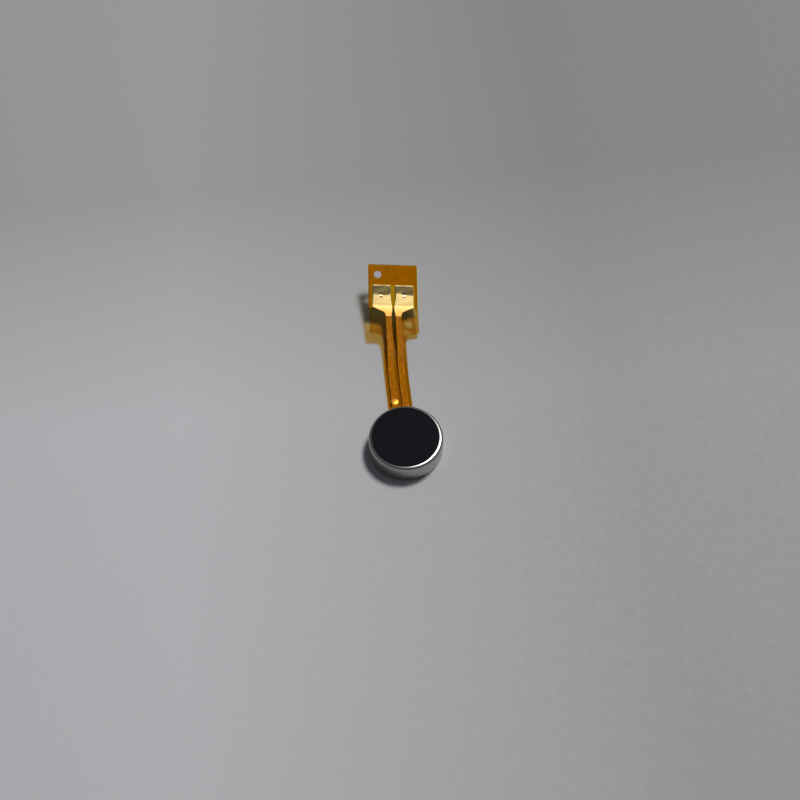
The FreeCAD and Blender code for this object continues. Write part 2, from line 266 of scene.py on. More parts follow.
def track_outline(side, plated=False):
    """One track with its contact pad; the plated outline starts inside the cover's window."""
    x0, x1 = TRACK_X - TRACK_W / 2, TRACK_X + TRACK_W / 2
    head = [(x1, TAPER_NEAR, SHOULDER_R), (PAD_OUT, PAD_NEAR, 0.1)]
    head += [(PAD_OUT, PAD_FAR, 0.1), (PAD_IN, PAD_FAR, 0.1)]
    head += [(PAD_IN, WAIST_BLEND[1], 0.5), (WAIST_IN, WAIST_U[1], 0.3), (WAIST_IN, WAIST_U[0], 0.2)]
    head += [(x0, WAIST_BLEND[0], 0.2)]
    if plated:
        pts = [(x0, PLATE_NEAR), (x1, PLATE_NEAR)] + head
    elif side > 0:
        pts = [(BRUSH_X[0], u_at(BRUSH_Y[0])), (BRUSH_X[1], u_at(BRUSH_Y[0])), (BRUSH_X[1], u_at(BRUSH_Y[1]))]
        pts += [(x1, u_at(2.05))] + head
        pts += [(x0, u_at(1.7)), (BRUSH_X[0], u_at(1.7))]
    else:
        pts = [(HUB_X[0], u_at(BRUSH_Y[1])), (HUB_X[0], u_at(-BRUSH_Y[0])), (BRUSH_X[0], u_at(-BRUSH_Y[0]))]
        pts += [(BRUSH_X[0], u_at(-BRUSH_Y[1])), (BRUSH_X[1], u_at(-BRUSH_Y[1]))]
        pts += [(BRUSH_X[1], u_at(HUB_Y[0])), (HUB_X[1], u_at(HUB_Y[0]))]
        pts += [(HUB_X[1], u_at(HUB_Y[1])), (x1, u_at(HUB_Y[1]))]
        pts += arc(TRACK_X, u_at(TEST_Y), TEST_PAD_R, -40, 40, 9)
        pts += head
        pts += arc(TRACK_X, u_at(TEST_Y), TEST_PAD_R, 140, 220, 9)
        pts += [(x0, u_at(BRUSH_Y[1]))]
    pts = soften(pts)
    pts = [(side * x, u) for x, u in pts]
    return pts if side > 0 else pts[::-1]


def split_edges(points, step):
    """Adds points along a loop, so that no edge is longer than the step."""
    out = []
    for (x0, y0), (x1, y1) in zip(points, points[1:] + points[:1]):
        n = max(1, int(math.ceil(math.hypot(x1 - x0, y1 - y0) / step)))
        out += [(x0 + (x1 - x0) * i / n, y0 + (y1 - y0) * i / n) for i in range(n)]
    return out


def inside(px, py, loop):
    """Which points lie inside a loop."""
    loop = np.array(loop)
    x0, y0 = loop[:, 0], loop[:, 1]
    x1, y1 = np.roll(x0, -1), np.roll(y0, -1)
    hit = np.zeros(len(px), bool)
    for a, b, c, d in zip(x0, y0, x1, y1):
        if b != d:
            hit ^= ((b > py) != (d > py)) & (px < (c - a) * (py - b) / (d - b) + a)
    return hit


def edge_distance(px, py, loop):
    """Distance of points from the nearest edge of a loop."""
    loop = np.array(loop)
    best = np.full(len(px), 1e9)
    for a, b in zip(loop, np.roll(loop, -1, axis=0)):
        d = b - a
        t = np.clip(((px - a[0]) * d[0] + (py - a[1]) * d[1]) / max(float(d @ d), 1e-12), 0, 1)
        best = np.minimum(best, np.hypot(px - a[0] - t * d[0], py - a[1] - t * d[1]))
    return best


def signed(px, py, loop):
    """Distance to a loop, positive inside it."""
    d = edge_distance(px, py, loop)
    return np.where(inside(px, py, loop), d, -d)


def smooth(x):
    x = np.clip(x, 0, 1)
    return x * x * (3 - 2 * x)


# ---------------------------------------------------------------- meshes

def link(name, verts, faces, sharp, flat=None):
    """Makes an object from points in mm; flat keeps each point's place on the flat pattern."""
    mesh = bpy.data.meshes.new(name)
    mesh.from_pydata([tuple(v) for v in np.asarray(verts, float) * MM], [], faces)
    mesh.validate()
    mesh.update()
    mesh.shade_smooth()
    mesh.set_sharp_from_angle(angle=math.radians(sharp))
    if flat is not None:
        layer = mesh.attributes.new("flat", "FLOAT_VECTOR", "POINT")
        layer.data.foreach_set("vector", np.asarray(flat, np.float32).ravel())
    obj = bpy.data.objects.new(name, mesh)
    bpy.context.scene.collection.objects.link(obj)
    return obj


def flat_mesh(outline, holes, step, guides=()):
    """Triangulates a region of the flat pattern: points, triangles and its border edges."""
    loops = [split_edges(outline, step)] + [split_edges(h, step) for h in holes]
    pts, edges = [], []
    for loop in loops:
        k = len(pts)
        pts += loop
        edges += [(k + i, k + (i + 1) % len(loop)) for i in range(len(loop))]
    for line in guides:
        pts += line
    low, high = np.min(outline, axis=0), np.max(outline, axis=0)
    row = step * math.sqrt(0.75)
    gx, gy = [], []
    for j in range(int((high[1] - low[1]) / row) + 1):
        xs = np.arange(low[0] + (0.5 * step if j % 2 else 0.0), high[0], step)
        gx += list(xs)
        gy += [low[1] + j * row] * len(xs)
    gx, gy = np.array(gx), np.array(gy)
    keep = inside(gx, gy, loops[0])
    for loop in loops[1:]:
        keep &= ~inside(gx, gy, loop)
    for loop in loops:
        keep &= edge_distance(gx, gy, loop) > 0.5 * step
    if guides:
        near = np.array([p for line in guides for p in line])
        for k in np.nonzero(keep)[0]:
            if np.min(np.hypot(near[:, 0] - gx[k], near[:, 1] - gy[k])) < 0.5 * step:
                keep[k] = False
    pts += list(zip(gx[keep], gy[keep]))
    co, _, tris, _, _, _ = delaunay_2d_cdt([Vector(p) for p in pts], edges, [], 0, 1e-6)
    co = np.array([tuple(c) for c in co])
    tris = np.array([t for t in tris if len(t) == 3])
    mid = co[tris].mean(axis=1)
    ok = inside(mid[:, 0], mid[:, 1], loops[0])
    for loop in loops[1:]:
        ok &= ~inside(mid[:, 0], mid[:, 1], loop)
    tris = tris[ok]
    used = np.unique(tris)
    index = np.full(len(co), -1)
    index[used] = np.arange(len(used))
    co, tris = co[used], index[tris]
    a, b, c = co[tris[:, 0]], co[tris[:, 1]], co[tris[:, 2]]
    area = (b[:, 0] - a[:, 0]) * (c[:, 1] - a[:, 1]) - (b[:, 1] - a[:, 1]) * (c[:, 0] - a[:, 0])
    tris[area < 0] = tris[area < 0][:, ::-1]
    border = set()
    for t in tris:
        for i in range(3):
            e = (int(t[i]), int(t[(i + 1) % 3]))
            if (e[1], e[0]) in border:
                border.remove((e[1], e[0]))
            else:
                border.add(e)
    return co, tris, sorted(border)


def layer(name, outline, holes, low, high, step=0.2, guides=()):
    """A closed thin sheet between two heights, which may vary over the flat pattern."""
    co, tris, border = flat_mesh(outline, holes, step, guides)
    s, u = co[:, 0], co[:, 1]
    top = high(s, u) if callable(high) else np.full(len(s), float(high))
    bottom = low(s, u) if callable(low) else np.full(len(s), float(low))
    verts = np.concatenate([to_space(s, u, top), to_space(s, u, bottom)])
    flat = np.concatenate([np.stack([s, u, top], 1), np.stack([s, u, bottom], 1)])
    n = len(s)
    faces = [tuple(int(i) for i in t) for t in tris]
    faces += [tuple(int(i) + n for i in t[::-1]) for t in tris]
    faces += [(b, a, a + n, b + n) for a, b in border]
    return link(name, verts, faces, 40.0, flat)


def lathe(rows, angles, centre=(0.0, 0.0), skip=None):
    """Turns rows of (radius, z) into a closed skin; a radius of 0 is a pole.
    Radius and z may be functions of the angle. skip(i, j) leaves out a quad."""
    verts, ring_at = [], []
    n = len(angles)
    for r, z in rows:
        if not callable(r) and r == 0:
            ring_at.append((len(verts), True))
            verts.append((centre[0], centre[1], z))
            continue
        ring_at.append((len(verts), False))
        for a in angles:
            rr = r(a) if callable(r) else r
            zz = z(a) if callable(z) else z
            verts.append((centre[0] + rr * math.cos(a), centre[1] + rr * math.sin(a), zz))
    faces = []
    for i in range(len(rows) - 1):
        (k0, pole0), (k1, pole1) = ring_at[i], ring_at[i + 1]
        for j in range(n):
            m = (j + 1) % n
            if skip and skip(i, j):
                continue
            if pole0:
                faces.append((k0, k1 + j, k1 + m))
            elif pole1:
                faces.append((k0 + j, k1, k0 + m))
            else:
                faces.append((k0 + j, k1 + j, k1 + m, k0 + m))
    return verts, faces, ring_at


# ---------------------------------------------------------------- procedural materials

class Nodes:
    """A material's node tree, with short ways to add and join nodes."""

    def __init__(self, name):
        self.material = bpy.data.materials.new(name)
        self.material.use_nodes = True
        self.tree = self.material.node_tree
        self.tree.nodes.clear()
        self.out = self.tree.nodes.new("ShaderNodeOutputMaterial")

    def add(self, kind, **settings):
        node = self.tree.nodes.new(kind)
        for key, value in settings.items():
            if key in node.inputs:
                self.put(node.inputs[key], value)
            else:
                setattr(node, key, value)
        return node

    def put(self, socket, value):
        if isinstance(value, bpy.types.NodeSocket):
            self.tree.links.new(value, socket)
        else:
            socket.default_value = value

    def noise(self, scale, detail=3.0, rough=0.55, vector=None, stretch=None):
        if vector is None:
            vector = self.add("ShaderNodeTexCoord").outputs["Object"]
        if stretch is not None:
            m = self.add("ShaderNodeMapping", Scale=stretch)
            self.put(m.inputs["Vector"], vector)
            vector = m.outputs["Vector"]
        n = self.add("ShaderNodeTexNoise", Scale=scale, Detail=detail, Roughness=rough)
        self.put(n.inputs["Vector"], vector)
        return n.outputs["Fac"]

    def flat(self):
        return self.add("ShaderNodeAttribute", attribute_name="flat").outputs["Vector"]

    def spread(self, value, low, high, in_low=0.3, in_high=0.7):
        r = self.add("ShaderNodeMapRange")
        self.put(r.inputs["Value"], value)
        for key, v in (("From Min", in_low), ("From Max", in_high), ("To Min", low), ("To Max", high)):
            r.inputs[key].default_value = v
        return r.outputs["Result"]

    def blend(self, fac, a, b):
        m = self.add("ShaderNodeMix", data_type="RGBA")
        self.put(m.inputs[0], fac)
        self.put(m.inputs[6], a)
        self.put(m.inputs[7], b)
        return m.outputs[2]

    def bump(self, height, distance):
        b = self.add("ShaderNodeBump", Strength=1.0, Distance=distance)
        self.put(b.inputs["Height"], height)
        return b.outputs["Normal"]

    def done(self, shader):
        self.tree.links.new(shader.outputs[0], self.out.inputs["Surface"])
        return self.material


def rgb(r, g, b):
    return (r, g, b, 1.0)


def metal(name, light, dark, rough, spot, fine, height, stretch=None):
    """Metal with cloudy tone, uneven polish and a fine grain."""
    n = Nodes(name)
    cloud = n.noise(spot, 4.0, 0.6)
    grain = n.noise(fine, 2.0, 0.5, stretch=stretch)
    colour = n.blend(n.spread(cloud, 0, 1), rgb(*light), rgb(*dark))
    shader = n.add("ShaderNodeBsdfPrincipled", Metallic=1.0)
    n.put(shader.inputs["Base Color"], colour)
    n.put(shader.inputs["Roughness"], n.spread(grain, rough * 0.8, rough * 1.2))
    n.put(shader.inputs["Normal"], n.bump(grain, height))
    return n.done(shader)


def solid(name, light, dark, rough, spot, fine, height, specular=0.5):
    """Opaque plastic, resin or foam with mottled tone and a fine surface texture."""
    n = Nodes(name)
    cloud = n.noise(spot, 4.0, 0.6)
    grain = n.noise(fine, 3.0, 0.6)
    shader = n.add("ShaderNodeBsdfPrincipled")
    shader.inputs["Specular IOR Level"].default_value = specular
    n.put(shader.inputs["Base Color"], n.blend(n.spread(cloud, 0, 1), rgb(*light), rgb(*dark)))
    n.put(shader.inputs["Roughness"], n.spread(grain, rough * 0.85, min(1.0, rough * 1.15)))
    n.put(shader.inputs["Normal"], n.bump(grain, height))
    return n.done(shader)


FILM_CLEAR, FILM_DEEP = (0.950, 0.832, 0.46), (0.932, 0.80, 0.40)
FILM_BODY, FILM_BODY_DARK = (0.42, 0.2, 0.01), (0.336, 0.16, 0.008)
FILM_BODY_SHARE = 0.002
FILM_IOR = 1.12
FILM_PASSES = 48


def amber(name, rough):
    """Clear amber film: light passes through and is tinted at each face, under a glossy surface."""
    n = Nodes(name)
    flat = n.flat()
    cloud = n.noise(0.9, 4.0, 0.6, flat)
    lines = n.noise(9.0, 3.0, 0.6, flat, (1.0, 0.12, 1.0))
    tint = n.blend(n.spread(cloud, 0, 1), rgb(*FILM_CLEAR), rgb(*FILM_DEEP))
    clear = n.add("ShaderNodeBsdfTransparent")
    n.put(clear.inputs["Color"], tint)
    skin = n.add("ShaderNodeBsdfPrincipled")
    n.put(skin.inputs["Base Color"], n.blend(n.spread(lines, 0, 1), rgb(*FILM_BODY), rgb(*FILM_BODY_DARK)))
    n.put(skin.inputs["Roughness"], n.spread(lines, rough * 0.8, rough * 1.3))
    n.put(skin.inputs["Normal"], n.bump(lines, 1e-6))
    skin.inputs["Specular IOR Level"].default_value = 0.3
    gloss = n.add("ShaderNodeFresnel")
    gloss.inputs["IOR"].default_value = FILM_IOR
    share = n.add("ShaderNodeMath", operation="ADD")
    n.put(share.inputs[0], gloss.outputs[0])
    share.inputs[1].default_value = FILM_BODY_SHARE
    mix = n.add("ShaderNodeMixShader")
    n.put(mix.inputs[0], share.outputs[0])
    n.tree.links.new(clear.outputs[0], mix.inputs[1])
    n.tree.links.new(skin.outputs[0], mix.inputs[2])
    return n.done(mix)


def translucent_sheet(name, light, dark, through, share, rough):
    """A sheet that is partly opaque and lets the rest of the light through, tinted."""
    n = Nodes(name)
    flat = n.flat()
    cloud = n.noise(0.7, 4.0, 0.6, flat)
    grain = n.noise(14.0, 3.0, 0.6, flat)
    body = n.add("ShaderNodeBsdfPrincipled")
    n.put(body.inputs["Base Color"], n.blend(n.spread(cloud, 0, 1), rgb(*light), rgb(*dark)))
    n.put(body.inputs["Roughness"], n.spread(grain, rough * 0.85, rough * 1.15))
    n.put(body.inputs["Normal"], n.bump(grain, 3e-6))
    clear = n.add("ShaderNodeBsdfTransparent")
    clear.inputs["Color"].default_value = rgb(*through)
    mix = n.add("ShaderNodeMixShader")
    mix.inputs[0].default_value = 1 - share
    n.tree.links.new(clear.outputs[0], mix.inputs[1])
    n.tree.links.new(body.outputs[0], mix.inputs[2])
    return n.done(mix)


def foil(name, light, dark, rough, height):
    """Rolled copper or dull gold on the circuit, with a grain along the strip."""
    n = Nodes(name)
    flat = n.flat()
    cloud = n.noise(1.3, 4.0, 0.6, flat)
    grain = n.noise(16.0, 3.0, 0.6, flat, (1.0, 0.2, 1.0))
    shader = n.add("ShaderNodeBsdfPrincipled", Metallic=1.0)
    n.put(shader.inputs["Base Color"], n.blend(n.spread(cloud, 0, 1), rgb(*light), rgb(*dark)))
    n.put(shader.inputs["Roughness"], n.spread(grain, rough * 0.7, rough * 1.3))
    n.put(shader.inputs["Normal"], n.bump(grain, height))
    return n.done(shader)


NECK_TINT, NECK_DULL = (3.2, 4.8), (4.0, 4.8)


def plating(name):
    """Gold on the contact pads: pale and polished, duller on the necks, and redder there, partly thin plating over
    copper and partly a painted reflection.
    """
    n = Nodes(name)
    flat = n.flat()
    place = n.add("ShaderNodeSeparateXYZ")
    n.put(place.inputs[0], flat)
    cloud = n.noise(1.6, 4.0, 0.6, flat)
    grain = n.noise(11.0, 4.0, 0.6, flat)
    gold = n.blend(n.spread(cloud, 0, 1), rgb(1.0, 0.76, 0.33), rgb(0.94, 0.68, 0.26))
    # Partly painted reflection: the necks' gold is tinted redder than the pads', besides copper showing through
    # thin plating.
    painted_neck_reflection_fade = n.spread(place.outputs[1], 0, 1, NECK_TINT[0], NECK_TINT[1])
    shader = n.add("ShaderNodeBsdfPrincipled", Metallic=1.0)
    n.put(shader.inputs["Base Color"], n.blend(painted_neck_reflection_fade, rgb(0.9, 0.43, 0.11), gold))
    matt = n.add("ShaderNodeMath", operation="ADD")
    n.put(matt.inputs[0], n.spread(grain, 0.08, 0.15))
    n.put(matt.inputs[1], n.spread(place.outputs[1], 0.52, 0, NECK_DULL[0], NECK_DULL[1]))
    n.put(shader.inputs["Roughness"], matt.outputs[0])
    n.put(shader.inputs["Normal"], n.bump(grain, 1.5e-6))
    return n.done(shader)


LOOKS = {
    "nickel_steel": metal(
        "nickel_steel", (0.50, 0.485, 0.47), (0.43, 0.42, 0.405), 0.29, 900.0, 9000.0, 1.5e-6
    ),
    "shaft_steel": metal(
        "shaft_steel", (0.66, 0.66, 0.67), (0.55, 0.55, 0.57), 0.18, 1500.0, 20000.0, 1e-6, (1, 1, 12)
    ),
    "foam": solid(
        "foam", (0.0041, 0.0048, 0.0078), (0.0059, 0.0067, 0.0105), 0.8, 1400.0, 16000.0, 1.2e-5, 0.12
    ),
    "tape": solid("tape", (0.02, 0.02, 0.022), (0.035, 0.034, 0.034), 0.5, 3000.0, 12000.0, 3e-6),
    "seal_glue": solid("seal_glue", (0.34, 0.22, 0.08), (0.42, 0.3, 0.12), 0.25, 2000.0, 6000.0, 2e-6),
    "washer_film": solid("washer_film", (0.03, 0.03, 0.03), (0.06, 0.06, 0.06), 0.4, 2500.0, 20000.0, 4e-6),
    "magnet": metal("magnet", (0.42, 0.42, 0.43), (0.33, 0.33, 0.34), 0.4, 2500.0, 15000.0, 3e-6),
    "brush_metal": metal("brush_metal", (0.85, 0.7, 0.38), (0.74, 0.6, 0.33), 0.2, 5000.0, 25000.0, 1e-6),
    "solder": metal("solder", (0.68, 0.68, 0.69), (0.5, 0.5, 0.52), 0.3, 6000.0, 12000.0, 4e-6),
    "bush_brass": metal("bush_brass", (0.75, 0.55, 0.26), (0.62, 0.43, 0.2), 0.35, 5000.0, 20000.0, 3e-6),
    "board": solid("board", (0.02, 0.12, 0.05), (0.03, 0.16, 0.07), 0.45, 3000.0, 9000.0, 4e-6),
    "winding": metal(
        "winding", (0.66, 0.25, 0.1), (0.5, 0.17, 0.07), 0.3, 9000.0, 15000.0, 1e-5, (1, 1, 8)
    ),
    "tungsten": metal("tungsten", (0.3, 0.3, 0.31), (0.22, 0.22, 0.23), 0.45, 4000.0, 16000.0, 5e-6),
    "resin": solid("resin", (0.02, 0.02, 0.022), (0.032, 0.031, 0.032), 0.5, 2500.0, 14000.0, 6e-6),
    "amber_film": amber("amber_film", 0.07),
    "cover_film": amber("cover_film", 0.06),
    "copper": foil("copper", (0.76, 0.54, 0.25), (0.61, 0.42, 0.18), 0.9, 2e-6),
    "gold_plate": plating("gold_plate"),
    "stiffener_sheet": translucent_sheet(
        "stiffener_sheet", (0.79, 0.93, 0.38), (0.72, 0.85, 0.3), (1.0, 0.95, 0.6), 0.36, 0.35
    ),
    "sheet_glue": translucent_sheet(
        "sheet_glue", (0.84, 0.78, 0.45), (0.78, 0.72, 0.4), (1.0, 0.97, 0.85), 0.85, 0.4
    ),
}


def finish_piece(obj, look, body, *nodes):
    """Gives a piece its material and slot, says which nodes it replaces and what it rides on."""
    obj.data.materials.append(LOOKS[look])
    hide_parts(*nodes)
    if body:
        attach(obj, body)


# ---------------------------------------------------------------- case, base, pad, seal

def opening_spans():
    """Angles and tops of the openings in the case's rim: three notches and the tail's exit."""
    half = math.asin(NOTCH_HALF / CASE_R)
    spans = [(math.radians(a) - half, math.radians(a) + half, NOTCH_TOP) for a in NOTCH_ANGLES]
    wide = math.asin(EXIT_HALF / CASE_R)
    return spans + [(math.pi / 2 - wide, math.pi / 2 + wide, EXIT_TOP)]


def columns(spans, n=240):
    """Evenly spaced angles, with one at each side of every opening."""
    marks = [a % (2 * math.pi) for span in spans for a in span[:2]]
    even = [2 * math.pi * i / n for i in range(n)]
    gap = 2 * math.pi / n * 0.4
    even = [a for a in even if all(abs((a - m + math.pi) % (2 * math.pi) - math.pi) > gap for m in marks)]
    return sorted(even + marks)


def case_shell():
    """The drawn steel case: outer skin, rolled top edge, inner skin and the openings in its rim."""
    spans = opening_spans()
    angles = columns(spans)
    walls = [RIM_Z, RIM_Z + 0.03, 0.25, NOTCH_TOP, EXIT_TOP, 0.7, 1.2, 1.8, 2.3]
    calm_z = 2.6

    def dent(a):
        return 0.0015 * math.sin(2 * a + 0.4) + 0.001 * math.sin(5 * a)

    def wall_r(z):
        return lambda a: CASE_R - 0.0025 + dent(a) * min(1, calm_z - z)

    inner_r = CASE_R - CASE_WALL
    outer = [(0, CASE_TOP), (1.5, CASE_TOP), (3.0, CASE_TOP), (4.2, CASE_TOP), (4.5, CASE_TOP - 0.001)]
    for k in range(1, 13):
        t = math.radians(90 * k / 12)
        outer.append((CASE_R - CASE_EDGE_R * (1 - math.sin(t)), CASE_TOP - CASE_EDGE_R * (1 - math.cos(t))))
    outer += [(wall_r(z), z) for z in reversed(walls[1:])]
    outer.append((CASE_R - 0.03, RIM_Z))
    inner = [(inner_r + 0.02, RIM_Z)] + [(inner_r, z) for z in walls[1:]]
    inner_top = CASE_TOP - CASE_WALL
    for k in range(0, 6):
        t = math.radians(90 * k / 5)
        inset, drop = CASE_INNER_R * (1 - math.cos(t)), CASE_INNER_R * (1 - math.sin(t))
        inner.append((inner_r - inset, inner_top - drop))
    inner += [(3.0, inner_top), (0, inner_top)]
    rows = outer + inner
    first = len(outer) - 1
    span_of = []
    for j, a in enumerate(angles):
        b = angles[(j + 1) % len(angles)]
        mid = (a + ((b - a) % (2 * math.pi)) / 2) % (2 * math.pi)
        hit = 0.0
        for lo, hi, top in spans:
            if (mid - lo) % (2 * math.pi) < (hi - lo):
                hit = top
        span_of.append(hit)
    height = [RIM_Z] + walls[1:]

    def skip(i, j):
        top = span_of[j]
        if not top:
            return False
        if i == first:
            return True
        k = i - first - 1 if i > first else first - i - 1
        return 0 <= k < len(height) - 1 and height[k + 1] <= top + 1e-9

    verts, faces, at = lathe(rows, angles, skip=skip)
    n = len(angles)
    out_rows = [at[first - k][0] for k in range(len(height))]
    in_rows = [at[first + 1 + k][0] for k in range(len(height))]
    for j in range(n):
        top = span_of[j]
        m = (j + 1) % n
        if top:
            k_top = height.index(top)
            faces.append((out_rows[k_top] + j, in_rows[k_top] + j, in_rows[k_top] + m, out_rows[k_top] + m))
        before = span_of[j - 1]
        if bool(before) != bool(top):
            for k in range(height.index(top or before)):
                quad = (out_rows[k] + j, out_rows[k + 1] + j, in_rows[k + 1] + j, in_rows[k] + j)
                faces.append(quad if top else quad[::-1])
    return link("case_shell", verts, faces, 32.0)


def base_plate():
    """The base with its lugs, the groove on its underside and the boss that holds the shaft."""
    half = math.asin(LUG_HALF / BASE_R)
    spans = [(math.radians(a) - half, math.radians(a) + half, 1.0) for a in NOTCH_ANGLES]
    angles = columns(spans)

    def reach(inset):
        def radius(a):
            for lo, hi, _ in spans:
                if (a - lo + 1e-6) % (2 * math.pi) <= hi - lo + 2e-6:
                    return LUG_R - inset
            return BASE_R - inset
        return radius

    rows = [(0, 0.0), (0.5, 0.0)]
    rows += [(1.08, 0.0), (1.12, 0.02), (1.16, 0.03), (1.2, 0.02), (1.24, 0.0)]
    rows += [(3.0, 0.0), (4.5, 0.0)]
    rows += [(reach(0.04), 0.0), (reach(0.012), 0.012), (reach(0.0), 0.04)]
    rows += [(reach(0.0), BASE_T - 0.03), (reach(0.03), BASE_T), (4.0, BASE_T)]
    rows += [(BOSS_R + 0.15, BASE_T), (BOSS_R + 0.05, BASE_T + 0.04), (BOSS_R, BASE_T + 0.12)]
    rows += [(BOSS_R, BOSS_TOP - 0.04), (BOSS_R - 0.04, BOSS_TOP), (SHAFT_HOLE_R, BOSS_TOP)]
    rows += [(SHAFT_HOLE_R, SHAFT_HOLE_Z), (0, SHAFT_HOLE_Z)]
    verts, faces, _ = lathe(rows, angles)
    return link("base_plate", verts, [f[::-1] for f in faces], 32.0)


def round_pad(name, r, z0, z1, edge, ragged, sag):
    """A cut disc with a rounded top edge, a slightly ragged outline and an uneven top."""
    n = 200
    angles = [2 * math.pi * i / n for i in range(n)]

    def wobble(a):
        return ragged * (math.sin(3 * a + 1.0) + 0.6 * math.sin(8 * a + 2.0) + 0.5 * math.sin(19 * a)) / 2.1

    def at(radius):
        return lambda a: radius + wobble(a) - ragged

    def dip(radius, amount):
        return lambda a: z1 - amount * (0.5 + 0.5 * math.sin(2 * a + radius) * math.sin(3.1 * radius + a))

    rows = [(0, z1 - sag)]
    rows += [(x, dip(x, sag)) for x in (0.5, 1.0, 1.6, 2.2, 2.8, 3.4, 3.9, 4.2)]
    for k in range(0, 6):
        t = math.radians(90 * k / 5)
        rows.append((at(r - edge + edge * math.sin(t)), z1 - edge + edge * math.cos(t)))
    rows += [(at(r), (z0 + z1) / 2), (at(r - 0.01), z0 + 0.002), (at(r - 0.03), z0), (2.0, z0), (0, z0)]
    verts, faces, _ = lathe(rows, angles, (PAD_X, 0.0))
    return link(name, verts, faces, 40.0)


def exit_seal():
    """A bead of glue in the slot above the tail, domed towards the outside."""
    z0 = FLEX_Z + COVER_HIGH + LAYER_GAP
    z1 = EXIT_TOP - LAYER_GAP
    half, n, m = EXIT_HALF - 2 * LAYER_GAP, 30, 9
    verts, faces = [], []
    for i in range(n + 1):
        x = -half + 2 * half * i / n
        swell = 0.085 * (1 - 0.35 * (x / half) ** 4) * (0.93 + 0.07 * math.sin(4.1 * x + 1))
        verts.append((x, CASE_R - CASE_WALL + 0.01, z0))
        for k in range(m):
            t = math.radians(90 * k / (m - 1))
            verts.append((x, CASE_R - 0.01 + swell * math.cos(t), z0 + (z1 - z0) * math.sin(t)))
        verts.append((x, CASE_R - CASE_WALL + 0.01, z1))
    c = m + 2
    for i in range(n):
        for k in range(c):
            a, b = i * c + k, i * c + (k + 1) % c
            faces.append((a, b, b + c, a + c))
    faces.append(tuple(reversed(range(c))))
    faces.append(tuple(n * c + k for k in range(c)))
    return link("exit_seal_bead", verts, [f[::-1] for f in faces], 50.0)


finish_piece(case_shell(), "nickel_steel", "motor", "top_case")
finish_piece(base_plate(), "nickel_steel", "motor", "base_bracket")
film_top = CASE_TOP + PAD_FILM_T
tape = round_pad("pad_adhesive", PAD_FILM_R, CASE_TOP, film_top, 0.01, 0.012, 0.0)
finish_piece(tape, "tape", "motor", "adhesive_film")
pad = round_pad("pad_foam", PAD_R, film_top, film_top + PAD_T, 0.045, 0.006, 0.004)
finish_piece(pad, "foam", "motor", "foam_pad")
finish_piece(exit_seal(), "seal_glue", "motor", "exit_seal")


# ---------------------------------------------------------------- flexible circuit

outline = blank_outline()
track_loops = {side: track_outline(side) for side in (-1, 1)}
window = rounded(-WINDOW_X, WINDOW_X, WINDOW_NEAR, WINDOW_FAR, 0.15)
locating = [circle(x, u, HOLE_R, 40) for x, u in HOLES]
hub_hole = circle(0, u_at(0.0), DISC_HOLE, 36)


def over_tracks(s, u):
    """1 over a track, 0 beside it, with a soft step between."""
    d = np.maximum(signed(s, u, track_loops[-1]), signed(s, u, track_loops[1]))
    return smooth((d + 0.07) / 0.11)


def cover_top(s, u):
    """The cover film stands higher over the tracks and thins towards its window."""
    lip = smooth((-signed(s, u, window) + 0.01) / 0.14)
    rise = over_tracks(s, u)
    return COVER_BESIDE + (COVER_HIGH - COVER_BESIDE) * rise * (0.35 + 0.65 * lip)


def cover_low(s, u):
    return np.maximum(cover_top(s, u) - COVER_T, 0.0615 + 0.037 * over_tracks(s, u))


def beside(loop, gaps):
    """Extra points just inside and outside a track's edges, so the cover film steps over it cleanly."""
    clear = 0.06
    pts = np.array(split_edges(loop, 0.16))
    nxt, prv = np.roll(pts, -1, axis=0), np.roll(pts, 1, axis=0)
    d = nxt - prv
    d /= np.maximum(np.linalg.norm(d, axis=1), 1e-9)[:, None]
    normal = np.stack([d[:, 1], -d[:, 0]], 1)
    lines = []
    for gap in gaps:
        moved = pts + normal * gap
        ok = signed(moved[:, 0], moved[:, 1], outline) > clear
        ok &= signed(moved[:, 0], moved[:, 1], window) < -clear
        ok &= moved[:, 1] > u_at(5.2)
        lines.append([tuple(p) for p in moved[ok]])
    return lines


def flexes(obj, look, *nodes):
    """A piece that bends softly from the motor to the tail's end."""
    finish_piece(obj, look, None, *nodes)
    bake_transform(obj)


base_film = layer("circuit_film", outline, locating + [hub_hole], 0.0, FILM_T)
flexes(base_film, "amber_film", "flex_film_root", "flex_film_tip")

step_gaps = (-0.05, 0.02, 0.09)
guides = beside(track_loops[-1], step_gaps) + beside(track_loops[1], step_gaps)
brush_windows = [
    rounded(-1.66, -0.74, u_at(-2.04), u_at(-1.16), 0.05),
    rounded(0.74, 1.66, u_at(1.16), u_at(2.04), 0.05),
]
test_window = circle(-TRACK_X, u_at(TEST_Y), TEST_R, 32)
cover_holes = locating + [hub_hole, window, test_window] + brush_windows
cover = layer("circuit_cover", outline, cover_holes, cover_low, cover_top, 0.2, guides)
flexes(cover, "cover_film", "cover_film_root", "cover_film_tip")

for side, word in ((-1, "left"), (1, "right")):
    track = layer(f"circuit_track_{word}", track_loops[side], [], COPPER_LOW, COPPER_HIGH, 0.2)
    flexes(track, "copper", f"track_{word}_root", f"track_{word}_tip")


CREASE_U, CREASE_RISE = 6.0, 0.05
EDGE_ROLL = 0.006
DENT_DEPTH, DENT_RIM = 0.03, 0.02
LEAST_PLATING = 0.006


